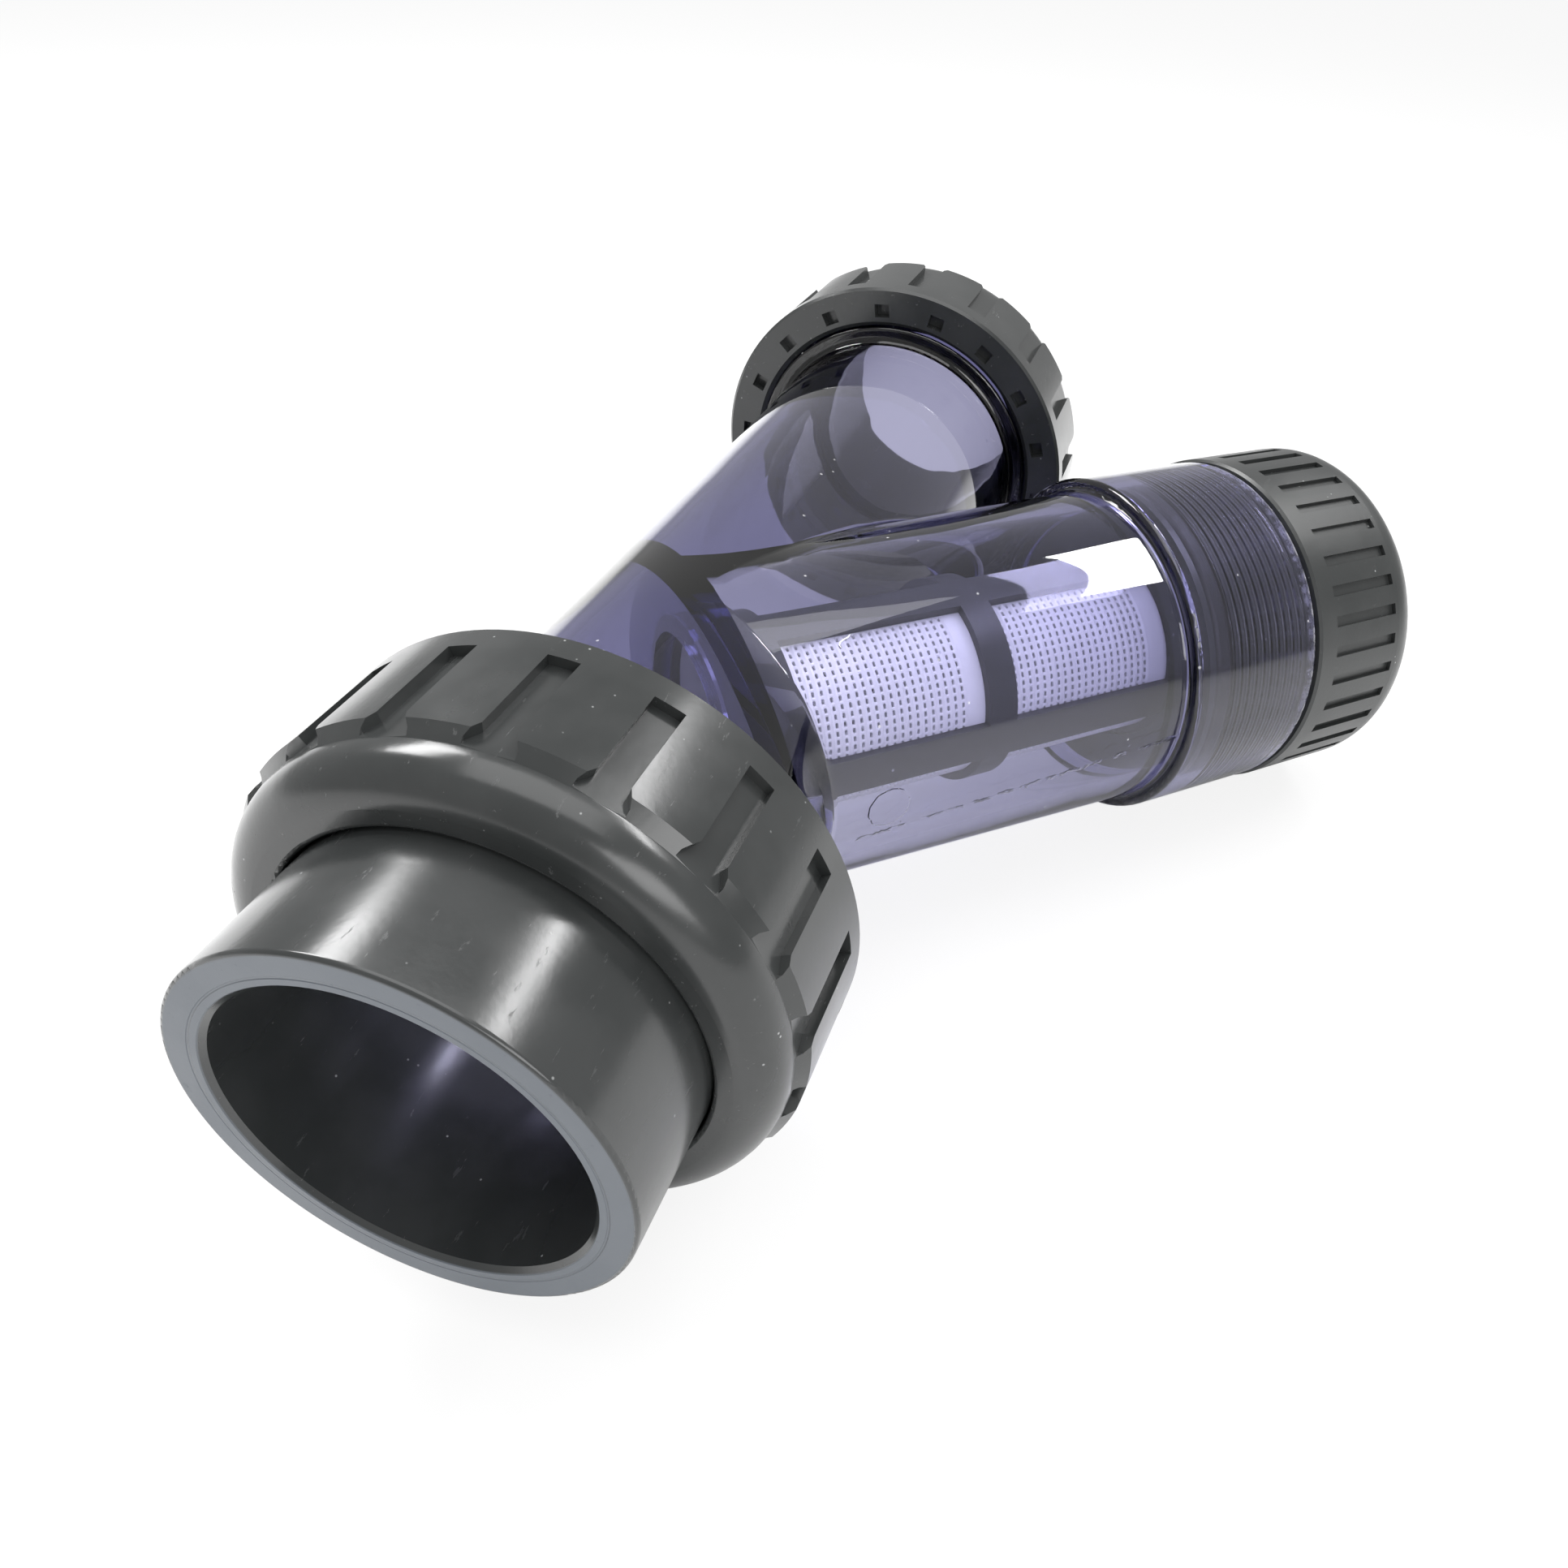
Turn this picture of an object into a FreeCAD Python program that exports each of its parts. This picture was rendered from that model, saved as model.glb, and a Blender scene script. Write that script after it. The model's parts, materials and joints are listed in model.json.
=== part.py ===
import FreeCAD, Part
import math
import os
import Sketcher
from FreeCAD import Placement, Rotation, Vector

# Clear Y strainer with two union ends. Lengths are millimetres, angles degrees.
# Run sizes are measured along +X from the face of the inlet end connector.
# Leg sizes are measured along the leg, from where its axis crosses the run's.
# Sizes that end in _rad are radii.

doc = FreeCAD.newDocument("y_strainer")
sheet = doc.addObject("Spreadsheet::Sheet", "sizes")
sheet.Label = "sizes"

SIZES = {
    # the run
    "cross_at": 105.75,
    "outlet_reach": 204.95,
    "overall_length": "=cross_at + outlet_reach",
    "run_bore_rad": 31.5,
    "run_wall": 5.3,
    "run_outer_rad": "=run_bore_rad + run_wall",
    "boss_height": 4.4,
    "boss_rad": "=run_outer_rad + boss_height",
    "boss_proud": 0.5,
    "boss_edge": 0.9,
    "boss_blend": 2.0,
    # end connectors
    "socket_rad": 31.5,
    "socket_depth": 38.0,
    "mouth_chamfer": 1.0,
    "socket_wall": 7.1,
    "connector_rad": "=socket_rad + socket_wall",
    "connector_edge": 0.8,
    "stop_thick": 5.0,
    "stop_height": 3.0,
    "flow_rad": "=socket_rad - stop_height",
    "flange_thick": 6.0,
    "flange_gap": 0.2,
    "flange_rad": "=boss_rad - flange_gap",
    # union nuts
    "nut_start": 24.9,
    "nut_length": 35.7,
    "nut_hole_gap": 0.45,
    "nut_hole_edge": 0.9,
    "nut_lip_gap": 0.1,
    "nut_thread_gap": 0.3,
    "nut_wall": 8.5,
    "nut_waist_rad": "=boss_rad + nut_thread_gap + nut_wall",
    "nut_dome": 7.4,
    "nut_entry": 1.2,
    "nut_rim_edge": 0.7,
    "pad_height": 2.0,
    "nut_rad": "=nut_waist_rad + pad_height",
    "pad_start": 7.6,
    "pad_slope": 2.3,
    "pad_corner": 1.5,
    "pad_count": 18,
    "slot_width": 5.6,
    "slot_wall": 5.6,
    "pocket_side": 4.2,
    "pocket_round": 3.6,
    "pocket_depth": 3.0,
    "pocket_inset": 6.3,
    "pocket_rad": "=nut_rad - pocket_inset",
    # face seals in the ends of the run
    "seal_groove_wide": 4.2,
    "seal_groove_deep": 3.2,
    "seal_inset": 4.6,
    "seal_mid_rad": "=run_bore_rad + seal_inset",
    "seal_slack": 0.05,
    # the leg
    "leg_angle": 45.0,
    "leg_bore_rad": 34.2,
    "leg_wall": 4.2,
    "leg_outer_rad": "=leg_bore_rad + leg_wall",
    "leg_root_drop": 0.1,
    "leg_root_rad": "=run_outer_rad - leg_root_drop",
    "branch_blend": 2.0,
    "collar_start": 103.6,
    "collar_length": 36.8,
    "collar_end": "=collar_start + collar_length",
    "collar_bore_step": 3.6,
    "collar_bore_rad": "=leg_bore_rad + collar_bore_step",
    "collar_bore_inset": 3.4,
    "collar_bore_start": "=collar_start + collar_bore_inset",
    "collar_wall": 3.7,
    "collar_rad": "=collar_bore_rad + collar_wall",
    "collar_shoulder": 1.4,
    "collar_root": 1.6,
    "collar_edge": 1.0,
    # cleanout cap
    "head_gap": 1.0,
    "head_length": 35.2,
    "head_proud": 0.5,
    "head_rad": "=collar_rad + head_proud",
    "head_round": 8.6,
    "head_edge": 0.6,
    "spigot_gap": 0.3,
    "spigot_length": 32.1,
    "cap_wall": 7.0,
    "cap_shelf": 2.1,
    "rib_count": 36,
    "rib_turn": -1.0,
    "groove_wide": 2.6,
    "groove_deep": 1.1,
    "groove_start": 5.4,
    "groove_length": 20.0,
    # seal on the cap's spigot
    "ring_groove_start": 1.8,
    "ring_groove_wide": 5.2,
    "ring_space": 3.2,
    "ring_groove_rad": "=collar_bore_rad - ring_space",
    "ring_slack": 0.1,
    "ring_side_slack": 0.2,
    "ring_round": 1.4,
    # screen cage and the sleeve inside it
    "cage_rad": 24.2,
    "cage_wall": 2.0,
    "cage_fit": 0.3,
    "cage_seat_gap": 0.3,
    "cage_in_cap": 7.0,
    "cage_lip": 1.6,
    "cage_lip_thick": 2.0,
    "window_count": 4,
    "window_turn": 46.0,
    "window_wide": 25.7,
    "window_gap": 7.1,
    "mouth_band": 14.4,
    "end_band": 6.4,
    "sleeve_gap": 0.1,
    "sleeve_wall": 0.9,
    "sleeve_end_gap": 3.0,
    "slit_count": 10,
    "slit_wide": 1.4,
    "slit_long": 18.0,
    # the screen's seat
    "seat_before_cross": 3.5,
    "seat_thick": 4.0,
    "seat_recess": 3.0,
    "seat_hole_gap": 0.4,
}

for row, (alias, amount) in enumerate(SIZES.items(), start=1):
    sheet.set("A%d" % row, alias)
    sheet.set("B%d" % row, str(amount))
    sheet.setAlias("B%d" % row, alias)
doc.recompute()


class Size:
    """A length that carries its value now and the sheet formula that gives it."""

    def __init__(self, amount, formula):
        self.amount = amount
        self.formula = formula

    def joined(self, other, sign, amount):
        right = other.formula if isinstance(other, Size) else repr(other)
        return Size(amount, "(%s %s %s)" % (self.formula, sign, right))

    def __add__(self, other):
        return self.joined(other, "+", self.amount + value(other))

    def __sub__(self, other):
        return self.joined(other, "-", self.amount - value(other))

    def __mul__(self, other):
        return self.joined(other, "*", self.amount * value(other))

    def __truediv__(self, other):
        return self.joined(other, "/", self.amount / value(other))


def value(thing):
    return thing.amount if isinstance(thing, Size) else float(thing)


def size(alias):
    return Size(float(sheet.get(alias)), "sizes." + alias)


def bind(thing, prop, amount):
    setattr(thing, prop, value(amount))
    thing.setExpression(prop, amount.formula)


# places that several pieces share
connector_end = size("socket_depth") + size("stop_thick")
flange_back = connector_end - size("flange_thick")
nut_end = size("nut_start") + size("nut_length")
boss_length = nut_end + size("boss_proud") - connector_end
run_length = size("overall_length") - connector_end * 2
nut_bore = size("boss_rad") + size("nut_thread_gap")
seat_front = size("seat_before_cross") * -1
seat_floor = seat_front + size("seat_thick")
leg_bore_start = seat_floor + size("seat_recess")
head_start = size("collar_end") + size("head_gap")
spigot_start = head_start - size("spigot_length")
spigot_rad = size("collar_bore_rad") - size("spigot_gap")
head_end = head_start + size("head_length")
cage_start = seat_floor + size("cage_seat_gap")
cage_end = spigot_start + size("cage_in_cap")
cage_bore = size("cage_rad") - size("cage_wall")
cage_recess = size("cage_rad") + size("cage_fit")
cap_bore = cage_recess - size("cap_shelf")
cage_lip_rad = cage_bore - size("cage_lip")
bands = size("mouth_band") + size("window_gap") + size("end_band")
window_long = (cage_end - cage_start - bands) / 2
first_window = cage_start + size("mouth_band")
second_window = first_window + window_long + size("window_gap")
slit_pitch = window_long / size("slit_count")
cage_middle_rad = size("cage_rad") - size("cage_wall") / 2
window_angle = Size(
    2 * math.degrees(math.asin(value(size("window_wide") / cage_middle_rad) / 2)),
    "2 * asin(%s / 2)" % (size("window_wide") / cage_middle_rad).formula)
bar_angle = Size(360 / value(size("window_count")) - window_angle.amount,
                 "360 deg / sizes.window_count - %s" % window_angle.formula)

# The strainer lies on its two nuts and the rim of the cap. The roll about the
# run's axis that brings the cap down to the level of the nuts:
touch = head_end - size("head_round")
side = math.sin(math.radians(value(size("leg_angle"))))
drop = value(size("nut_rad")) - value(size("head_rad"))
roll_angle = math.degrees(math.asin(drop / (value(touch) * side)))
roll = Placement(Vector(), Rotation(Vector(1, 0, 0), roll_angle))

# The row's origin is where the parallel part of the inlet socket begins.
home = Placement(Vector(-value(size("mouth_chamfer")), 0, 0), Rotation()) * roll
far_end = Placement(Vector(value(size("overall_length")), 0, 0), Rotation(Vector(0, 0, 1), 180))
leg_turn = Rotation(Vector(0, 0, 1), -value(size("leg_angle")))
leg = Placement(Vector(value(size("cross_at")), 0, 0), leg_turn)


def turned(angle):
    return Placement(Vector(), Rotation(Vector(1, 0, 0), angle))


def origin_plane(body, role):
    return next(item for item in body.Origin.OriginFeatures if item.Role == role)


def new_body(name):
    body = doc.addObject("PartDesign::Body", name)
    body.Label = name
    return body


def new_sketch(body, name, role="XY_Plane"):
    sketch = body.newObject("Sketcher::SketchObject", name)
    sketch.AttachmentSupport = (origin_plane(body, role), [""])
    sketch.MapMode = "FlatFace"
    return sketch


def outline(sketch, corners):
    """Closed outline through the corners, each held by two bound distances."""
    places = [Vector(value(across), value(up), 0) for across, up in corners]
    count = len(places)
    first = sketch.GeometryCount
    for index, place in enumerate(places):
        sketch.addGeometry(Part.LineSegment(place, places[(index + 1) % count]), False)
    for index in range(count):
        after = first + (index + 1) % count
        sketch.addConstraint(Sketcher.Constraint("Coincident", first + index, 2, after, 1))
    for line, corner in enumerate(corners, start=first):
        for kind, length, axis in (("DistanceX", corner[0], -2), ("DistanceY", corner[1], -1)):
            if value(length) == 0:
                sketch.addConstraint(Sketcher.Constraint("PointOnObject", line, 1, axis))
                continue
            rule = Sketcher.Constraint(kind, -1, 1, line, 1, value(length))
            number = sketch.addConstraint(rule)
            sketch.setExpression("Constraints[%d]" % number, length.formula)


def feature(body, kind, name, sketch=None):
    item = body.newObject("PartDesign::" + kind, name)
    if sketch is not None:
        item.Profile = sketch
        sketch.Visibility = False
    return item


def turn_profile(body, name, corners, on=None):
    """A solid turned about the X axis, or the leg's, from corners given as (along, radius)."""
    sketch = new_sketch(body, name + "_outline")
    if on is not None:
        sketch.AttachmentOffset = on
        sketch.setExpression("AttachmentOffset.Base.x", "sizes.cross_at")
    outline(sketch, corners)
    item = feature(body, "Revolution", name, sketch)
    item.ReferenceAxis = (sketch, ["H_Axis"])
    item.Angle = 360.0
    doc.recompute()
    return item


def round_edges(shape, places, on=Placement()):
    """Names of the round edges at the places, each given as (along the axis, radius)."""
    found = []
    for along, radius in places:
        centre = on.multVec(Vector(value(along), 0, 0))
        for number, edge in enumerate(shape.Edges, start=1):
            curve = edge.Curve
            if isinstance(curve, Part.Circle) and abs(curve.Radius - value(radius)) < 0.01:
                if curve.Center.distanceToPoint(centre) < 0.01:
                    found.append("Edge%d" % number)
    return found


def branch_edges(shape):
    """Names of the long curves where the leg meets the run."""
    shortest = value(size("leg_outer_rad")) / 2
    return ["Edge%d" % number for number, edge in enumerate(shape.Edges, start=1)
            if isinstance(edge.Curve, Part.BSplineCurve) and edge.Length > shortest]


def dressed(body, kind, base, name, edges, amount):
    """A Fillet or Chamfer on the named edges of the feature before it."""
    item = feature(body, kind, name)
    item.Base = (base, edges)
    bind(item, "Radius" if kind == "Fillet" else "Size", amount)
    doc.recompute()
    return item


def cut_outward(body, name, outlines, start, depth, shift=0.0):
    """Cut outward from one height above the X axis, or shifted round it by a share of a turn."""
    sketch = new_sketch(body, name + "_outline")
    if value(shift):
        angle = "360 deg * %s" % shift.formula
        sketch.AttachmentOffset = turned(360 * shift.amount)
        sketch.setExpression("AttachmentOffset.Rotation.Angle", angle)
        sketch.setExpression("AttachmentOffset.Base.y", "-%s * sin(%s)" % (start.formula, angle))
        sketch.setExpression("AttachmentOffset.Base.z", "%s * cos(%s)" % (start.formula, angle))
    else:
        sketch.AttachmentOffset = Placement(Vector(0, 0, value(start)), Rotation())
        sketch.setExpression("AttachmentOffset.Base.z", start.formula)
    for corners in outlines:
        outline(sketch, corners)
    item = feature(body, "Pocket", name, sketch)
    item.Reversed = True
    bind(item, "Length", depth)
    doc.recompute()
    return item


def around(body, name, originals, count):
    """Repeat features evenly about the X axis."""
    item = body.newObject("PartDesign::PolarPattern", name)
    item.Originals = originals
    item.Axis = (origin_plane(body, "X_Axis"), [""])
    item.Angle = 360.0
    item.setExpression("Occurrences", count.formula)
    body.Tip = item
    doc.recompute()
    return item


def box_corners(left, right, half):
    return [(left, half * -1), (right, half * -1), (right, half), (left, half)]


def end_connector(name, place):
    """Plain socket for a glued pipe, with the flange that the nut pulls on."""
    body = new_body(name)
    zero = 0.0
    chamfer = size("mouth_chamfer")
    form = turn_profile(body, name + "_form", [
        (zero, size("socket_rad") + chamfer),
        (zero, size("connector_rad")),
        (flange_back, size("connector_rad")),
        (flange_back, size("flange_rad")),
        (connector_end, size("flange_rad")),
        (connector_end, size("flow_rad")),
        (size("socket_depth"), size("flow_rad")),
        (size("socket_depth"), size("socket_rad")),
        (chamfer, size("socket_rad")),
    ])
    mouth = round_edges(form.Shape, [(0, size("connector_rad"))])
    dressed(body, "Fillet", form, name + "_edge", mouth, size("connector_edge"))
    body.Placement = home * place
    return body


def union_nut(name, place):
    """Domed nut with raised grip pads, a plain rear rim and blind pockets in its rear face."""
    body = new_body(name)
    front = size("nut_start")
    hole = size("connector_rad") + size("nut_hole_gap")
    lip = flange_back - size("nut_lip_gap")
    slope_start = front + size("pad_start")
    pad_front = slope_start + size("pad_slope")
    form = turn_profile(body, name + "_form", [
        (front, hole),
        (front, size("nut_waist_rad")),
        (slope_start, size("nut_waist_rad")),
        (pad_front, size("nut_rad")),
        (nut_end, size("nut_rad")),
        (nut_end, nut_bore + size("nut_entry")),
        (nut_end - size("nut_entry"), nut_bore),
        (lip, nut_bore),
        (lip, hole),
    ])
    shoulder = round_edges(form.Shape, [(front, size("nut_waist_rad"))])
    dome = dressed(body, "Fillet", form, name + "_dome", shoulder, size("nut_dome"))
    mouth = round_edges(dome.Shape, [(front, hole)])
    edge = dressed(body, "Fillet", dome, name + "_mouth", mouth, size("nut_hole_edge"))
    rim = round_edges(edge.Shape, [(nut_end, size("nut_rad"))])
    dressed(body, "Chamfer", edge, name + "_rim", rim, size("nut_rim_edge"))
    half = size("slot_width") / 2
    corner = size("pad_corner")
    slot_end = nut_end - size("slot_wall")
    slot = cut_outward(body, name + "_slot", [[
        (front, half + corner),
        (front, (half + corner) * -1),
        (slope_start + size("pad_slope") / 2, (half + corner) * -1),
        (pad_front + corner, half * -1),
        (slot_end, half * -1),
        (slot_end, half),
        (pad_front + corner, half),
        (slope_start + size("pad_slope") / 2, half + corner),
    ]], size("nut_waist_rad"), size("nut_rad") - size("nut_waist_rad") + 1)
    around(body, name + "_slots", [slot], size("pad_count"))
    low = size("pocket_rad") - size("pocket_round") / 2
    half_pad = Size(0.5, "0.5") / size("pad_count")
    square = box_corners(nut_end - size("pocket_depth"), nut_end + 1, size("pocket_side") / 2)
    pocket = cut_outward(body, name + "_pocket", [square], low, size("pocket_round"), half_pad)
    around(body, name + "_pockets", [pocket], size("pad_count"))
    body.Placement = home * place
    return body


def face_seal(name, place):
    """Round seal in the groove at one end of the run, pressed by the connector."""
    ring = doc.addObject("Part::Torus", name)
    ring.Label = name
    half = size("seal_groove_deep") / 2
    bind(ring, "Radius1", size("seal_mid_rad"))
    bind(ring, "Radius2", half - size("seal_slack"))
    middle = Vector(value(connector_end + half), 0, 0)
    ring.Placement = home * place * Placement(middle, Rotation(Vector(0, 1, 0), 90))
    return ring


def rod(name, radius, start, length, on=Placement()):
    """Round bar along X, or along the leg, from one place for one length."""
    bar = doc.addObject("Part::Cylinder", name)
    bind(bar, "Radius", radius)
    bind(bar, "Height", length)
    bar.Placement = on * Placement(Vector(value(start), 0, 0), Rotation(Vector(0, 1, 0), 90))
    return bar


def joined(name, shapes):
    item = doc.addObject("Part::MultiFuse", name)
    item.Shapes = shapes
    item.Refine = True
    return item


def shared(name, first, second):
    item = doc.addObject("Part::MultiCommon", name)
    item.Shapes = [first, second]
    return item


def body_outside():
    """The run with a boss at each end, and the branch leg with its collar."""
    body = new_body("body_outside")
    run_end = connector_end + run_length
    inlet_root = connector_end + boss_length
    outlet_root = run_end - boss_length
    run_rad = size("run_outer_rad")
    leg_rad = size("leg_outer_rad")
    boss = size("boss_rad")
    turn_profile(body, "run_form", [
        (connector_end, 0.0),
        (connector_end, boss),
        (inlet_root, boss),
        (inlet_root, run_rad),
        (outlet_root, run_rad),
        (outlet_root, boss),
        (run_end, boss),
        (run_end, 0.0),
    ])
    form = turn_profile(body, "leg_form", [
        (0.0, 0.0),
        (0.0, size("leg_root_rad")),
        (size("collar_start"), leg_rad),
        (size("collar_start"), size("collar_rad")),
        (size("collar_end"), size("collar_rad")),
        (size("collar_end"), 0.0),
    ], leg)
    form = dressed(body, "Fillet", form, "branch", branch_edges(form.Shape), size("branch_blend"))
    edges = round_edges(form.Shape, [(size("collar_start"), leg_rad)], leg)
    form = dressed(body, "Fillet", form, "collar_foot", edges, size("collar_root"))
    edges = round_edges(form.Shape, [(size("collar_start"), size("collar_rad"))], leg)
    form = dressed(body, "Fillet", form, "shoulder", edges, size("collar_shoulder"))
    edges = round_edges(form.Shape, [(size("collar_end"), size("collar_rad"))], leg)
    form = dressed(body, "Fillet", form, "collar_rim", edges, size("collar_edge"))
    edges = round_edges(form.Shape, [(inlet_root, run_rad), (outlet_root, run_rad)])
    form = dressed(body, "Fillet", form, "boss_foot", edges, size("boss_blend"))
    edges = round_edges(form.Shape, [(inlet_root, boss), (outlet_root, boss)])
    dressed(body, "Fillet", form, "boss_shoulder", edges, size("boss_edge"))
    return body


def body_inside():
    """The two bores, parted by the ring that the screen's open end sits in, and the leg."""
    reach = size("overall_length")
    upstream = shared("upstream_bore",
                      rod("inlet_bore", size("run_bore_rad"), connector_end - 1, reach),
                      rod("upstream_side", reach, seat_front - reach, reach, leg))
    downstream = shared("downstream_bore",
                        rod("outlet_bore", size("run_bore_rad"), connector_end, reach),
                        rod("downstream_side", reach, leg_bore_start, reach, leg))
    collar_bore_length = size("collar_end") - size("collar_bore_start") + 1
    return [
        upstream,
        downstream,
        rod("seat_hole", cage_lip_rad + size("seat_hole_gap"), seat_front - 1, size("seat_thick") + 2, leg),
        rod("seat_recess", cage_recess, seat_floor, size("seat_recess") + 1, leg),
        rod("leg_bore", size("leg_bore_rad"), leg_bore_start,
            size("collar_end") - leg_bore_start, leg),
        rod("collar_bore", size("collar_bore_rad"), size("collar_bore_start"),
            collar_bore_length, leg),
    ]


def seal_groove(name, start):
    """Ring-shaped cut for a face seal."""
    wide = size("seal_groove_wide")
    outer = rod(name + "_outer", size("seal_mid_rad") + wide / 2, start, size("seal_groove_deep"))
    inner = rod(name + "_inner", size("seal_mid_rad") - wide / 2, start, size("seal_groove_deep"))
    item = doc.addObject("Part::Cut", name)
    item.Base = outer
    item.Tool = inner
    return item


def strainer_body():
    """One clear moulding: the run, the branch leg, the collar and the screen's seat."""
    run_end = connector_end + run_length
    grooves = [seal_groove("inlet_groove", connector_end),
               seal_groove("outlet_groove", run_end - size("seal_groove_deep"))]
    hollow = joined("body_hollow", body_inside() + grooves)
    item = doc.addObject("Part::Cut", "strainer_body")
    item.Label = "strainer_body"
    item.Base = body_outside()
    item.Tool = hollow
    item.Placement = home
    return item


def cleanout_cap():
    """Ribbed head on a spigot that holds the seal and the end of the screen."""
    body = new_body("cleanout_cap")
    recess_end = cage_end + size("cage_seat_gap")
    groove_start = spigot_start + size("ring_groove_start")
    groove_end = groove_start + size("ring_groove_wide")
    bore_end = head_end - size("cap_wall")
    form = turn_profile(body, "cap_form", [
        (spigot_start, cage_recess),
        (spigot_start, spigot_rad),
        (groove_start, spigot_rad),
        (groove_start, size("ring_groove_rad")),
        (groove_end, size("ring_groove_rad")),
        (groove_end, spigot_rad),
        (head_start, spigot_rad),
        (head_start, size("head_rad")),
        (head_end, size("head_rad")),
        (head_end, 0.0),
        (bore_end, 0.0),
        (bore_end, cap_bore),
        (recess_end, cap_bore),
        (recess_end, cage_recess),
    ])
    far = round_edges(form.Shape, [(head_end, size("head_rad"))])
    shoulder = dressed(body, "Fillet", form, "cap_shoulder", far, size("head_round"))
    near = round_edges(shoulder.Shape, [(head_start, size("head_rad"))])
    dressed(body, "Chamfer", shoulder, "cap_edge", near, size("head_edge"))
    left = head_start + size("groove_start")
    strip = box_corners(left, left + size("groove_length"), size("groove_wide") / 2)
    floor = size("head_rad") - size("groove_deep")
    groove = cut_outward(body, "cap_groove", [strip], floor, size("groove_deep") + 1)
    around(body, "cap_grooves", [groove], size("rib_count"))
    body.Placement = home * leg * turned(value(size("rib_turn")))
    return body


def cap_seal():
    """Seal squeezed flat between the spigot's groove and the collar."""
    body = new_body("cap_seal")
    start = spigot_start + size("ring_groove_start") + size("ring_side_slack")
    end = start + size("ring_groove_wide") - size("ring_side_slack") * 2
    low = size("ring_groove_rad") + size("ring_slack")
    high = size("collar_bore_rad") - size("ring_slack")
    corners = [(start, low), (start, high), (end, high), (end, low)]
    form = turn_profile(body, "cap_seal_form", corners)
    edges = round_edges(form.Shape, corners)
    dressed(body, "Fillet", form, "cap_seal_round", edges, size("ring_round"))
    body.Placement = home * leg
    return body


def cage_ring(name, corners):
    """Closed ring of the cage, turned about the leg."""
    body = new_body(name)
    turn_profile(body, name + "_form", corners)
    body.Placement = home * leg
    return body


def cage_bar(name, start, angle):
    """One bar between two windows of a row."""
    body = new_body(name)
    form = turn_profile(body, name + "_form", [
        (start, cage_bore),
        (start, size("cage_rad")),
        (start + window_long, size("cage_rad")),
        (start + window_long, cage_bore),
    ])
    form.Midplane = True
    bind(form, "Angle", bar_angle)
    body.Placement = home * leg * turned(angle)
    return body


def screen_cage():
    """Tube with two rows of windows: three rings, and the bars that part the windows."""
    lip_end = cage_start + size("cage_lip_thick")
    cage = [
        cage_ring("screen_cage_mouth", [
            (cage_start, cage_lip_rad),
            (cage_start, size("cage_rad")),
            (first_window, size("cage_rad")),
            (first_window, cage_bore),
            (lip_end, cage_bore),
            (lip_end, cage_lip_rad),
        ]),
        cage_ring("screen_cage_waist", [
            (first_window + window_long, cage_bore),
            (first_window + window_long, size("cage_rad")),
            (second_window, size("cage_rad")),
            (second_window, cage_bore),
        ]),
        cage_ring("screen_cage_end", [
            (second_window + window_long, cage_bore),
            (second_window + window_long, size("cage_rad")),
            (cage_end, size("cage_rad")),
            (cage_end, cage_bore),
        ]),
    ]
    count = int(value(size("window_count")))
    for row, start in (("near", first_window), ("far", second_window)):
        for number in range(count):
            angle = value(size("window_turn")) + 360 / count * (number + 0.5)
            cage.append(cage_bar("screen_cage_%s_bar_%d" % (row, number + 1), start, angle))
    return cage


def screen_sleeve():
    """Thin sleeve in the cage, open where the windows show it."""
    body = new_body("screen_sleeve")
    outer = cage_bore - size("sleeve_gap")
    inner = outer - size("sleeve_wall")
    start = cage_start + size("cage_lip_thick") + size("sleeve_gap")
    end = cage_end - size("sleeve_end_gap")
    turn_profile(body, "sleeve_form", [(start, inner), (start, outer), (end, outer), (end, inner)])
    slits = []
    for window in (first_window, second_window):
        for number in range(int(value(size("slit_count")))):
            middle = window + slit_pitch * (number + 0.5)
            slits.append(box_corners(middle - size("slit_wide") / 2, middle + size("slit_wide") / 2,
                                     size("slit_long") / 2))
    cuts = cut_outward(body, "slit", slits, inner / 2, outer)
    around(body, "slits", [cuts], size("window_count"))
    body.Placement = home * leg * turned(value(size("window_turn")))
    return body


pieces = [
    strainer_body(),
    end_connector("inlet_connector", Placement()),
    end_connector("outlet_connector", far_end),
    union_nut("inlet_union_nut", Placement()),
    union_nut("outlet_union_nut", far_end),
    face_seal("inlet_face_seal", Placement()),
    face_seal("outlet_face_seal", far_end),
    cleanout_cap(),
    cap_seal(),
    screen_sleeve(),
] + screen_cage()
doc.recompute()

for item in doc.Objects:
    if "Invalid" in item.State or "Error" in item.State:
        raise RuntimeError("%s did not build" % item.Label)
for piece in pieces:
    if piece.Shape.isNull() or not piece.Shape.isValid():
        raise RuntimeError("%s has no valid shape" % piece.Label)

os.makedirs("parts", exist_ok=True)
for piece in pieces:
    piece.Shape.exportStep("parts/%s.step" % piece.Label)
    print(piece.Label, round(piece.Shape.Volume), len(piece.Shape.Solids), piece.Shape.BoundBox)
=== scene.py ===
import json
import math

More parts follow.
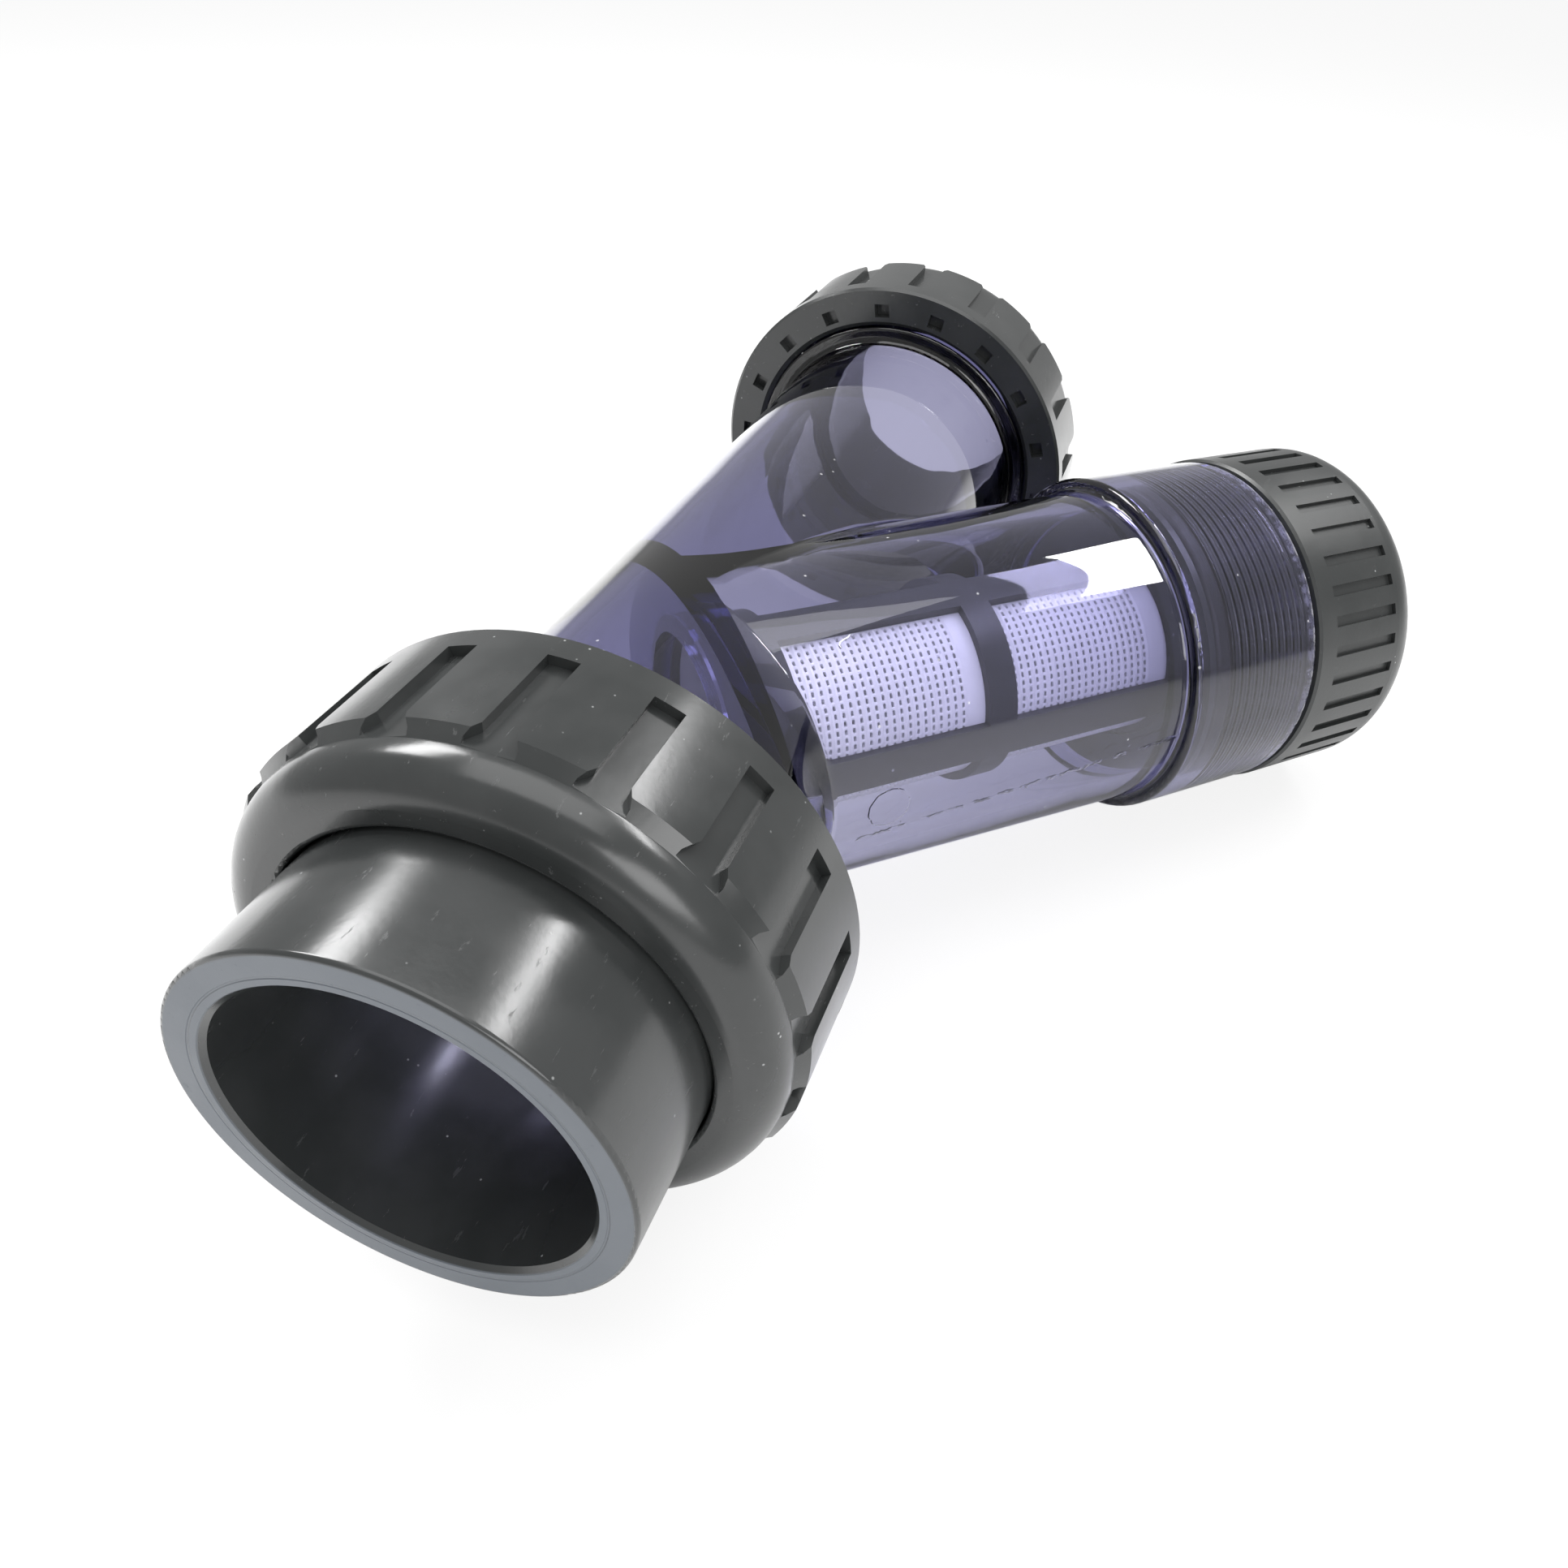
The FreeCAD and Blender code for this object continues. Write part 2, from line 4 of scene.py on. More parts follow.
import bpy
from mathutils import Euler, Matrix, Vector


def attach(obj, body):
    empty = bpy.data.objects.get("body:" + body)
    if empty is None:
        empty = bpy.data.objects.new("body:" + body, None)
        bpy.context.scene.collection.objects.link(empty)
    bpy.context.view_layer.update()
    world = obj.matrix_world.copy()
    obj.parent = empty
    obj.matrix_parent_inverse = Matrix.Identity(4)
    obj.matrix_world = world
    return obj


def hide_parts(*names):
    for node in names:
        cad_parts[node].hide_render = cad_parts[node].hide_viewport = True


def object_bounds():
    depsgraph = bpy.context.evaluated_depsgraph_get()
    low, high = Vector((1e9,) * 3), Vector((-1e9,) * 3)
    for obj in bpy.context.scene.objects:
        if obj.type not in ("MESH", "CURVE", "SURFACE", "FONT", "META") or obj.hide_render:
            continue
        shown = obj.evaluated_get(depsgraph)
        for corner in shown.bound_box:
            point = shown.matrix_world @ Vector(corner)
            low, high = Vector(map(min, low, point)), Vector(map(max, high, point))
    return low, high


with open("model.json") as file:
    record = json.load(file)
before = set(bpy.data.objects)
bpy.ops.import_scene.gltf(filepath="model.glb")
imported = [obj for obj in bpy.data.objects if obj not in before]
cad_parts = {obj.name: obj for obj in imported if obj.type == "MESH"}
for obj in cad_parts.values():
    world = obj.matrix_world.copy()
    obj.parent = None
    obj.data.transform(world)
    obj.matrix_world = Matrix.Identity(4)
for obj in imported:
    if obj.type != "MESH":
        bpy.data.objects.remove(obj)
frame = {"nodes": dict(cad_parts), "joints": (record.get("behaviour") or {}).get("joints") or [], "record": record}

cadBox = [list(corner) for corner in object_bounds()]
nodes = frame["nodes"]
joints = {joint["name"]: joint for joint in frame["joints"]}
mm = 0.001
print("frame loaded")


# Places along the leg: millimetres from the crossing of the axes, and degrees
# about the leg from its top towards the inlet's side.
crossing = Vector(joints["cap_turn"]["pos_m"])
legAxis = Vector(joints["screen_draw"]["axis"]).normalized()
legTop = legAxis.cross(Vector((1, 0, 0))).normalized()
legSide = legAxis.cross(legTop)


def onLeg(along, angle, radius):
    turn = math.radians(angle)
    out = math.cos(turn) * legTop + math.sin(turn) * legSide
    return crossing + mm * (along * legAxis + radius * out)


# The camera stands where the photograph was taken from.
cameraSpec = {
    "place": (-0.08392713, -0.09435753, 0.15865158),
    "turn": (52.18299, -2.89766, -74.08535),
    "lens": 27.9528,
    "sensor": 36.0,
    "shift": (-0.083007, -0.0217696),
}


def makeCamera(spec):
    data = bpy.data.cameras.new("camera")
    data.lens = spec["lens"]
    data.sensor_width = spec["sensor"]
    data.shift_x, data.shift_y = spec["shift"]
    data.clip_start = 0.005
    camera = bpy.data.objects.new("camera", data)
    camera.location = spec["place"]
    camera.rotation_euler = Euler([math.radians(a) for a in spec["turn"]], "XYZ")
    bpy.context.scene.collection.objects.link(camera)
    bpy.context.scene.camera = camera


makeCamera(cameraSpec)
print("camera placed")


# Dust: how big a speck is in its cell, and how far apart the patches lie that hold any.
speckSpec = {"size": (0.05, 0.12), "patchScale": 0.31, "soft": 0.05}


# Shader maths: a Wire is a socket that can be added, multiplied and so on.
class Wire:
    def __init__(self, paint, socket):
        self.paint = paint
        self.socket = socket

    def sum(self, operation, *parts):
        return self.paint.node("ShaderNodeMath", {"operation": operation}, dict(enumerate(parts)))

    def __add__(self, other):
        return self.sum("ADD", self, other)

    def __sub__(self, other):
        return self.sum("SUBTRACT", self, other)

    def __rsub__(self, other):
        return self.sum("SUBTRACT", other, self)

    def __mul__(self, other):
        return self.sum("MULTIPLY", self, other)

    def __truediv__(self, other):
        return self.sum("DIVIDE", self, other)

    def __pow__(self, other):
        return self.sum("POWER", self, other)

    def __abs__(self):
        return self.sum("ABSOLUTE", self)

    __radd__ = __add__
    __rmul__ = __mul__


class Paint:
    def __init__(self, tree):
        self.tree = tree
        self.tree.nodes.clear()

    def node(self, kind, settings=None, inputs=None, output=0):
        made = self.tree.nodes.new(kind)
        for name, value in (settings or {}).items():
            setattr(made, name, value)
        for name, value in (inputs or {}).items():
            if isinstance(value, Wire):
                self.tree.links.new(value.socket, made.inputs[name])
            else:
                made.inputs[name].default_value = value
        return Wire(self, made.outputs[output]) if len(made.outputs) else None

    def place(self):
        return self.node("ShaderNodeTexCoord", output="Object")

    def noise(self, scale, detail=3.0, where=None, roughness=0.5):
        inputs = {"Vector": where or self.place(), "Scale": scale, "Detail": detail}
        inputs["Roughness"] = roughness
        return self.node("ShaderNodeTexNoise", {}, inputs)

    def specks(self, scale, chance):
        inputs = {"Vector": self.place(), "Scale": scale}
        nearest = self.node("ShaderNodeTexVoronoi", {}, inputs, "Distance")
        spots = 1 - self.fade(nearest, *speckSpec["size"])
        patches = self.noise(scale * speckSpec["patchScale"], detail=1.0)
        return spots * self.fade(patches, chance, chance + speckSpec["soft"])

    def fade(self, value, low, high):
        inputs = {"Value": value, "From Min": low, "From Max": high}
        return self.node("ShaderNodeMapRange", {"interpolation_type": "SMOOTHSTEP"}, inputs)

    def between(self, value, low, high, soft):
        return self.fade(value, low - soft, low) * (1 - self.fade(value, high, high + soft))

    def mix(self, factor, first, second):
        return self.node("ShaderNodeMix", {"data_type": "RGBA"}, {0: factor, 6: first, 7: second}, 2)

    def either(self, factor, first, second):
        return self.node("ShaderNodeMixShader", {}, {0: factor, 1: first, 2: second})

    # a height of 1 stands 1 mm proud
    def bump(self, height):
        return self.node("ShaderNodeBump", {}, {"Height": height, "Distance": mm, "Strength": 1.0})

    def along(self, start, direction):
        kind = "ShaderNodeVectorMath"
        offset = self.node(kind, {"operation": "SUBTRACT"}, {0: self.place(), 1: start})
        dot = self.node(kind, {"operation": "DOT_PRODUCT"}, {0: offset, 1: direction}, "Value")
        return dot / mm


# Millimetres along, round and out from an axis, worked out on the surface itself.
def roundAxis(paint, start, axis, top, side):
    along, up, across = (paint.along(start, direction) for direction in (axis, top, side))
    radius = (up * up + across * across) ** 0.5
    angle = across.sum("ARCTAN2", across, up)
    return along, angle, radius


def newPaint(name):
    material = bpy.data.materials.new(name)
    material.use_nodes = True
    return material, Paint(material.node_tree)


def rgba(colour):
    return (*colour, 1.0)


# Moulded plastic: a slow mottle, fine dust specks, and scuffs drawn out along the run.
def mouldedPlastic(name, spec):
    material, paint = newPaint(name)
    mottle = paint.fade(paint.noise(spec["mottleScale"], detail=4.0), *spec["mottleRange"])
    colour = paint.mix(mottle, rgba(spec["dark"]), rgba(spec["light"]))
    dust = paint.specks(spec["speckScale"], spec["speckChance"])
    colour = paint.mix(dust * spec["speckStrength"], colour, rgba(spec["speck"]))
    inputs = {"Vector": paint.place(), "Scale": spec["scuffStretch"]}
    stretched = paint.node("ShaderNodeMapping", {}, inputs)
    streaks = paint.noise(1.0, detail=6.0, where=stretched, roughness=0.7)
    scuffs = paint.fade(streaks, *spec["scuffRange"])
    colour = paint.mix(scuffs * spec["scuffStrength"], colour, rgba(spec["speck"]))
    rough = spec["rough"] + mottle * spec["roughSpread"] + scuffs * spec["scuffRough"]
    height = paint.noise(spec["grainScale"], detail=2.0) * spec["grainDepth"]
    if "face" in spec:
        face, soft = spec["face"], spec["face"]["soft"]
        run, _, radius = roundAxis(paint, (0, 0, 0), (1, 0, 0), (0, 0, 1), (0, 1, 0))
        ends = 1 - paint.between(run, face["start"] + soft, face["end"] - soft, soft)
        land = ends * (1 - paint.fade(radius, *face["rim"]))
        colour = paint.mix(land, colour, rgba(face["colour"]))
        ring = 1 - paint.fade(abs(radius - face["ring"]), *face["ringLine"])
        height = height - ring * ends * face["ringDepth"]
        rough = rough + land * face["rough"]
    inputs = {
        "Base Color": colour, "Roughness": rough, "IOR": spec["ior"], "Normal": paint.bump(height),
    }
    shader = paint.node("ShaderNodeBsdfPrincipled", {}, inputs)
    paint.node("ShaderNodeOutputMaterial", {}, {"Surface": shader})
    return material


greySpec = {
    "dark": (0.024, 0.026, 0.026), "light": (0.031, 0.033, 0.033),
    "mottleScale": 60, "mottleRange": (0.35, 0.65),
    "speck": (0.42, 0.43, 0.43), "speckScale": 420, "speckChance": 0.60, "speckStrength": 0.6,
    "scuffStretch": (120, 500, 500), "scuffRange": (0.62, 0.72),
    "scuffStrength": 0.04, "scuffRough": 0.2,
    "rough": 0.17, "roughSpread": 0.06, "ior": 1.5, "grainScale": 900, "grainDepth": 0.010,
}
connectorSpec = dict(greySpec, face={
    "start": cadBox[0][0] / mm, "end": cadBox[1][0] / mm, "soft": 0.3,
    "rim": (37.6, 38.2), "colour": (0.085, 0.098, 0.115), "rough": 0.22,
    "ring": 33.9, "ringLine": (0.05, 0.30), "ringDepth": 0.20,
})
nutSpec = dict(greySpec, rough=0.19, scuffStrength=0.08)
capSpec = dict(greySpec, rough=0.34, roughSpread=0.08, scuffStrength=0.06, grainDepth=0.02)
cageSpec = dict(
    greySpec, dark=(0.026, 0.027, 0.030), light=(0.032, 0.033, 0.036), rough=0.4, speckStrength=0.0,
)
whiteSpec = dict(
    greySpec, dark=(0.84, 0.84, 0.84), light=(0.90, 0.90, 0.90), rough=0.5,
    speckStrength=0.0, scuffStrength=0.0,
)
rubberSpec = dict(
    greySpec, dark=(0.008, 0.008, 0.009), light=(0.012, 0.012, 0.013), rough=0.5, speckStrength=0.0,
)

# Clear moulding: the violet tint lies in the depth of the plastic, so thick edges go navy.
clearSpec = {
    "ior": 1.53, "rough": 0.02,
    "density": 175.0, "tint": (0.13, 0.12, 0.44), "shadow": (0.93, 0.93, 0.96),
    "ripple": 34.0, "rippleDepth": 0.16, "white": (0.72, 0.72, 0.74), "whiteRough": 0.6,
    "outer": (36.3, 36.6),
    "thread": {
        "start": 116.8, "end": 137.6, "runOut": 1.0, "pitch": 2.309, "depth": 0.55,
        "from": (37.2, 37.4), "to": (38.2, 38.3), "flank": (0.25, 0.85),
    },
    "gate": {
        "along": 27.6, "angle": 88.0, "radius": 4.9, "edge": 0.4, "rough": 0.8,
        "depth": 0.30, "at": 37.2,
    },
    "seam": {
        "start": 21.0, "end": 102.7, "runOut": 0.5, "angles": (99.0, 89.0), "depth": 0.22,
        "line": (0.05, 0.55), "wander": 2.2, "wobbleScale": 520.0,
        "gapScale": 230.0, "gaps": (0.40, 0.60),
    },
    "scuffedEnd": {"along": (139.0, 140.3), "scale": 300.0, "range": (0.42, 0.62), "strength": 0.55},
    "dust": {"scale": 260.0, "chance": 0.62, "strength": 0.45},
}


def clearPlastic(name, spec):
    material, paint = newPaint(name)
    along, angle, radius = roundAxis(paint, crossing, legAxis, legTop, legSide)
    degrees = angle * math.degrees(1.0)
    outer = paint.fade(radius, *spec["outer"])

    # the female thread that shows through the collar
    thread = spec["thread"]
    inside = (1 - paint.fade(radius, *thread["to"])) * paint.fade(radius, *thread["from"])
    turns = along / thread["pitch"] - angle / (2 * math.pi)
    ridge = abs(turns - turns.sum("FLOOR", turns) - 0.5) * 2
    threaded = paint.between(along, thread["start"], thread["end"], thread["runOut"])
    ridge = paint.fade(ridge, *thread["flank"]) * inside * threaded

    # the round mark of the gate, and the rough parting line beside it
    gate, seam = spec["gate"], spec["seam"]
    aside = (degrees - gate["angle"]) * math.radians(gate["at"])
    spread = ((along - gate["along"]) ** 2.0 + aside ** 2.0) ** 0.5
    wobble = paint.noise(seam["wobbleScale"]) - 0.5
    edge = spread + wobble * gate["rough"]
    disc = (1 - paint.fade(edge, gate["radius"] - gate["edge"], gate["radius"])) * outer
    first, last = seam["angles"]
    line = first + (along - seam["start"]) * ((last - first) / (seam["end"] - seam["start"]))
    off = abs((degrees - line) * math.radians(gate["at"]) + wobble * seam["wander"])
    broken = paint.fade(paint.noise(seam["gapScale"], detail=4.0), *seam["gaps"])
    crease = (1 - paint.fade(off, *seam["line"])) * broken * outer
    crease = crease * paint.between(along, seam["start"], seam["end"], seam["runOut"]) * (1 - disc)

    height = paint.noise(spec["ripple"], detail=1.0) * spec["rippleDepth"]
    height = height + ridge * thread["depth"] + disc * gate["depth"] + crease * seam["depth"]
    inputs = {
        "Base Color": (1, 1, 1, 1), "Roughness": spec["rough"], "IOR": spec["ior"],
        "Transmission Weight": 1.0, "Normal": paint.bump(height),
    }
    glass = paint.node("ShaderNodeBsdfPrincipled", {}, inputs)
    inputs = {"Base Color": rgba(spec["white"]), "Roughness": spec["whiteRough"]}
    chalk = paint.node("ShaderNodeBsdfPrincipled", {}, inputs)

    # chalky scuffs on the collar's end, and dust over the rest
    end, dust = spec["scuffedEnd"], spec["dust"]
    scratches = paint.noise(end["scale"], detail=5.0, roughness=0.7)
    worn = paint.fade(along, *end["along"]) * paint.fade(scratches, *end["range"]) * end["strength"]
    specks = paint.specks(dust["scale"], dust["chance"]) * dust["strength"]
    solid = paint.either(worn.sum("MAXIMUM", worn, specks), glass, chalk)
    see = paint.node("ShaderNodeBsdfTransparent", {}, {"Color": rgba(spec["shadow"])})
    shadow = paint.node("ShaderNodeLightPath", {}, {}, "Is Shadow Ray")
    both = paint.either(shadow, solid, see)
    inputs = {"Color": rgba(spec["tint"]), "Density": spec["density"]}
    depth = paint.node("ShaderNodeVolumeAbsorption", {}, inputs)
    paint.node("ShaderNodeOutputMaterial", {}, {"Surface": both, "Volume": depth})
    return material


materials = {
    "clear_pvc": clearPlastic("clear moulding", clearSpec),
    "grey_pvc": mouldedPlastic("connector moulding", connectorSpec),
    "nut_pvc": mouldedPlastic("nut moulding", nutSpec),
    "cap_pvc": mouldedPlastic("cap moulding", capSpec),
    "seal_rubber": mouldedPlastic("seal rubber", rubberSpec),
    "cage_plastic": mouldedPlastic("cage moulding", cageSpec),
    "sleeve_plastic": mouldedPlastic("sleeve moulding", whiteSpec),
}
for part in frame["record"]["subparts"]:
    data = nodes[part["node"]].data
    data.materials.clear()
    data.materials.append(materials[part["material_slot"]])
print("materials made")


def addPiece(name, points, faces, body, slot):
    data = bpy.data.meshes.new(name)
    data.from_pydata([tuple(point) for point in points], [], faces)
    data.update()
    data.materials.append(materials[slot])
    piece = bpy.data.objects.new(name, data)
    bpy.context.scene.collection.objects.link(piece)
    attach(piece, body)
    return piece


# The screen's sleeve: ribs round it, with a ring of holes in each groove, in millimetres.
# A field is where its holes begin along the leg, and how many rings it has.
sleeveSpec = {
    "rib": 1.9, "rows": 76, "holeLong": 1.10, "holeWide": 0.66, "holeCorner": 0.6, "groove": 0.34,
    "fields": ((16.6, 20), (66.6, 20)),
}


def sleeveReach():
    offsets = [v.co - crossing for v in nodes["screen_sleeve"].data.vertices]
    heights = [offset.dot(legAxis) / mm for offset in offsets]
    radii = [(offset - offset.dot(legAxis) * legAxis).length / mm for offset in offsets]
    return min(heights), max(heights), min(radii), max(radii)


# Keeps each point once, so that neighbouring faces share it.
def pointStore():
    points, index = [], {}

    def point(along, angle, radius):
        key = (round(along, 4), round(angle % 360.0, 4), round(radius, 4))
        if key not in index:
            index[key] = len(points)
            points.append(onLeg(*key))
        return index[key]

    return points, point


# A cell of the grid, from -1 to 1 along the leg and round it: the points on its edge that
# the hole's corners join, and its own corners, each after the edge point of that number.
cellEdge = (
    (-1, -0.5), (-0.5, -1), (0.5, -1), (1, -0.5), (1, 0.5), (0.5, 1), (-0.5, 1), (-1, 0.5),
)
cellCorners = {0: (-1, -1), 2: (1, -1), 4: (1, 1), 6: (-1, 1)}


def holeCorners(shy):
    return ((-1, -shy), (-shy, -1), (shy, -1), (1, -shy), (1, shy), (shy, 1), (-shy, 1), (-1, shy))


def addHole(faces, point, spec, middle, angle, walls):
    halfRib, halfStep = spec["rib"] / 2, 180.0 / spec["rows"]
    halfWide, halfLong = spec["holeWide"] / 2, math.degrees(spec["holeLong"] / 2 / max(walls))
    rims = []
    for wall in walls:
        groove = spec["groove"] if wall == max(walls) else 0.0

        def at(place, wide, long):
            a, b = place
            depth = groove * (1 - abs(a) * wide / halfRib)
            return point(middle + a * wide, angle + b * long, wall - depth)

        hole = [at(place, halfWide, halfLong) for place in holeCorners(spec["holeCorner"])]
        edge = [at(place, halfRib, halfStep) for place in cellEdge]
        for k in range(len(hole)):
            n = (k + 1) % len(hole)
            ring = [edge[k], edge[n], hole[n], hole[k]]
            if k in cellCorners:
                ring.insert(1, at(cellCorners[k], halfRib, halfStep))
            faces.append(ring if wall == max(walls) else ring[::-1])
        rims.append(hole)
    outside, inside = rims
    for k in range(len(outside)):
        n = (k + 1) % len(outside)
        faces.append([outside[k], outside[n], inside[n], inside[k]])


def addBand(faces, point, turns, start, end, walls):
    for turn, after in turns:
        for wall in walls:
            quad = [point(start, turn, wall), point(end, turn, wall),
                    point(end, after, wall), point(start, after, wall)]
            faces.append(quad if wall == max(walls) else quad[::-1])


def addEnds(faces, point, turns, low, high, walls):
    outer, inner = walls
    for end in (low, high):
        for turn, after in turns:
            quad = [point(end, turn, inner), point(end, turn, outer),
                    point(end, after, outer), point(end, after, inner)]
            faces.append(quad if end == low else quad[::-1])


def makeSleeve(spec):
    low, high, inner, outer = sleeveReach()
    walls = (outer, inner)
    points, point = pointStore()
    faces = []
    step = 360.0 / spec["rows"]
    offsets = (-step / 2, -step / 4, step / 4)
    places = [row * step + offset for row in range(spec["rows"]) for offset in offsets]
    turns = list(zip(places, places[1:] + places[:1]))
    at = low
    for start, count in spec["fields"]:
        addBand(faces, point, turns, at, start, walls)
        for k in range(count):
            for row in range(spec["rows"]):
                addHole(faces, point, spec, start + (k + 0.5) * spec["rib"], row * step, walls)
        at = start + count * spec["rib"]
    addBand(faces, point, turns, at, high, walls)
    addEnds(faces, point, turns, low, high, walls)
    piece = addPiece("perforated_sleeve", points, faces, "screen", "sleeve_plastic")
    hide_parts("screen_sleeve")
    print("sleeve made:", len(faces), "faces")


makeSleeve(sleeveSpec)

# The male thread on the cap's spigot, as one ridge wound round it.
threadSpec = {
    "start": 118.2, "end": 137.8, "pitch": 2.309, "root": 37.46, "crest": 37.72,
    "rootWide": 1.5, "crestWide": 0.5, "steps": 90, "runOut": 12,
}


def makeThread(spec):
    points, faces = [], []
    turns = (spec["end"] - spec["start"]) / spec["pitch"]
    count = int(turns * spec["steps"])
    root, crest = spec["root"], spec["crest"]
    profile = [(-spec["rootWide"] / 2, root), (-spec["crestWide"] / 2, crest),
               (spec["crestWide"] / 2, crest), (spec["rootWide"] / 2, root)]
    corners = len(profile)
    for k in range(count + 1):
        share = min(1.0, k / spec["runOut"], (count - k) / spec["runOut"])
        for offset, radius in profile:
            along = spec["start"] + spec["pitch"] * k / spec["steps"] + offset * share
            points.append(onLeg(along, 360.0 * k / spec["steps"], root + (radius - root) * share))
    for k in range(count):
        for n in range(corners):
            a, b = corners * k + n, corners * k + (n + 1) % corners
            faces.append([a, b, b + corners, a + corners])
    addPiece("spigot_thread", points, faces, "cap", "cap_pvc")
    print("thread made:", len(faces), "faces")


makeThread(threadSpec)


# Small things on the parts: a white fibre on the leg, and the torn gate on the inlet nut's rim.
# The fibre's path is given along and about the leg, the gate's edge along the run from the
# connector's face and about it from the leg's top.
fibreSpec = {
    "path": ((21.9, 33.4), (21.6, 32.4), (22.0, 31.4), (22.9, 30.8), (23.9, 30.4), (24.7, 29.5)),
    "thick": 0.13, "lift": 0.12, "sides": 8, "tip": 0.3, "searchFrom": 60.0,
}
scarSpec = {
    "edge": (
        (60.3, 64.4), (58.9, 65.4), (56.9, 66.9), (56.0, 68.8), (56.4, 71.7), (57.4, 74.0),
        (59.2, 75.6), (60.3, 74.8), (60.3, 73.0), (60.3, 71.0), (60.3, 69.0), (60.3, 67.0),
    ),
    "radius": 52.0, "faceAt": 1.0, "middle": (58.9, 71.0),
    "rings": ((1.0, -0.3), (1.0, 0.22), (0.78, 0.22), (0.70, 0.04)), "bulge": 0.10,
}


def makeTube(name, path, spec, body, slot):
    points, faces, sides = [], [], spec["sides"]
    for k, here in enumerate(path):
        before, after = path[max(k - 1, 0)], path[min(k + 1, len(path) - 1)]
        forward = (after - before).normalized()
        across = forward.cross(legAxis + legTop).normalized()
        other = forward.cross(across)
        size = spec["thick"] * mm * (spec["tip"] if k in (0, len(path) - 1) else 1.0)
        for n in range(sides):
            turn = 2 * math.pi * n / sides
            points.append(here + size * (math.cos(turn) * across + math.sin(turn) * other))
    for k in range(len(path) - 1):
        for n in range(sides):
            a, b = k * sides + n, k * sides + (n + 1) % sides
            faces.append([a, b, b + sides, a + sides])
    faces.append(list(range(sides))[::-1])
    faces.append([len(points) - sides + n for n in range(sides)])
    addPiece(name, points, faces, body, slot)


# How far out the leg's surface is, found by looking in from outside.
def legRadiusAt(along, angle, searchFrom):
    onAxis = onLeg(along, angle, 0.0)
    inward = (onAxis - onLeg(along, angle, 1.0)).normalized()
    spot = nodes["strainer_body"].ray_cast(onLeg(along, angle, searchFrom), inward)[1]
    return (spot - onAxis).length / mm


def makeFibre(spec):
    path = []
    for along, angle in spec["path"]:
        surface = legRadiusAt(along, angle, spec["searchFrom"])
        path.append(onLeg(along, angle, surface + spec["lift"]))
    makeTube("fibre", path, spec, "body", "sleeve_plastic")


def onNut(run, angle, radius):
    turn = math.radians(angle)
    out = math.cos(turn) * legTop + math.sin(turn) * Vector((1, 0, 0)).cross(legTop) * -1
    return mm * (Vector((run, 0, 0)) + radius * out)


def makeScar(spec):
    middle, rings = spec["middle"], spec["rings"]
    points, faces = [], []
    for share, lift in rings:
        for run, angle in spec["edge"]:
            place = [m + (v - m) * share for m, v in zip(middle, (run - spec["faceAt"], angle))]
            points.append(onNut(*place, spec["radius"] + lift))
    points.append(onNut(*middle, spec["radius"] + spec["bulge"]))
    count = len(spec["edge"])
    for ring in range(len(rings) - 1):
        for k in range(count):
            a, b = ring * count + k, ring * count + (k + 1) % count
            faces.append([a, b, b + count, a + count])
    for k in range(count):
        last = (len(rings) - 1) * count
        faces.append([last + k, last + (k + 1) % count, len(points) - 1])
    addPiece("rim_scar", points, faces, "inlet_nut", "sleeve_plastic")


makeFibre(fibreSpec)
makeScar(scarSpec)
print("fibre and scar made")


# Pale floor and backdrop: seen as near white, with a soft shadow left on the floor.
stageSpec = {
    "floor": -0.0521, "reach": 8.0, "colour": (0.90, 0.90, 0.90), "seen": 0.84, "worldLight": 0.60,
}


def seenRay(paint):
    camera = paint.node("ShaderNodeLightPath", {}, {}, "Is Camera Ray")
    through = paint.node("ShaderNodeLightPath", {}, {}, "Is Transmission Ray")
    return paint.fade(camera + through, 0.0, 1.0)


